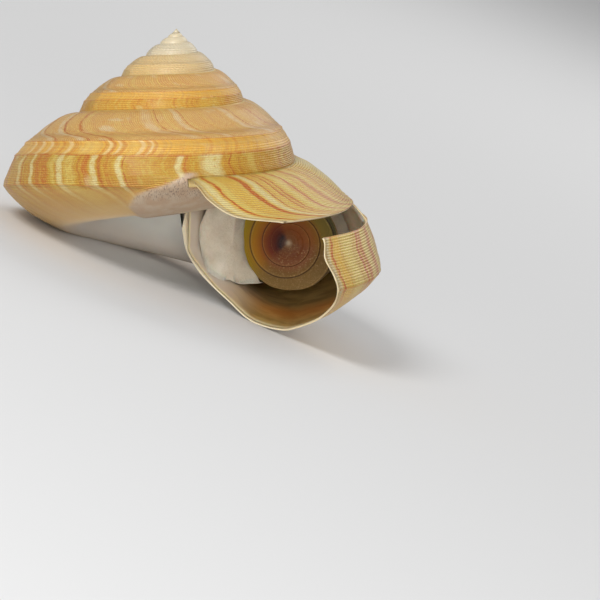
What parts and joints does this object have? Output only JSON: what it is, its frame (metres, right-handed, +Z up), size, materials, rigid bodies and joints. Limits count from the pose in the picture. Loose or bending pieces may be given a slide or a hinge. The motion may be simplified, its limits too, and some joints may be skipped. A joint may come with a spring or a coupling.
{
  "type": "slit shell",
  "caption": "Top-shaped sea snail shell with an open slit in its lip, its round horny operculum set in the aperture on a soft wad.",
  "frame": {"origin": "bottom centre of the part's box, on the surface that the shell rests on", "axes": "+Z up from the surface; the aperture faces -Y; the coil axis leans to -X, with the tip at the top"},
  "size_m": [0.0608, 0.0587, 0.0379],
  "materials": {
    "shell": "satin, nacreous inside",
    "horn": "translucent horn",
    "cotton": "soft fibres"
  },
  "bodies": {
    "root": {"shell": "shell", "operculum": "horn", "cotton_wad": "cotton"}
  },
  "joints": []
}
